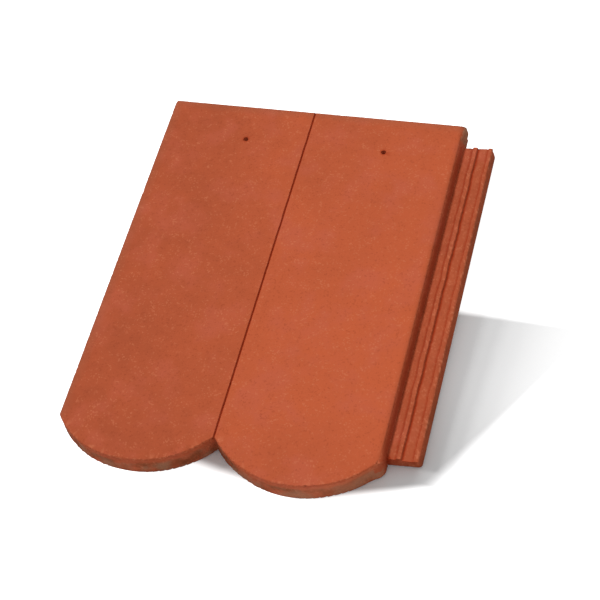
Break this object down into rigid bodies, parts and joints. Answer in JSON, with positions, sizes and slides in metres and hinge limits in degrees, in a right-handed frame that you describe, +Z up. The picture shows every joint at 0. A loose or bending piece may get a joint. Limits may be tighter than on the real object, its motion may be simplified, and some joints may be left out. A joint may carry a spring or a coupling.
{
  "type": "concrete roof tile",
  "caption": "Flat interlocking concrete roof tile with two rounded lobes at its tail, a ribbed side lap, nail holes and hanging nibs.",
  "frame": {"origin": "on the floor, under the centre of the tile's bounding box", "axes": "+X towards the lapping strip, +Y up the slope from the lobes to the head, +Z up; the face leans 1.85 degrees because the tile lies on its nibs and its lobes' lower edge"},
  "size_m": [0.331, 0.4017, 0.0339],
  "materials": {
    "concrete": "matt brick-red slurry coat over fine sandy concrete"
  },
  "bodies": {
    "root": {"roof_tile": "concrete"}
  },
  "joints": []
}
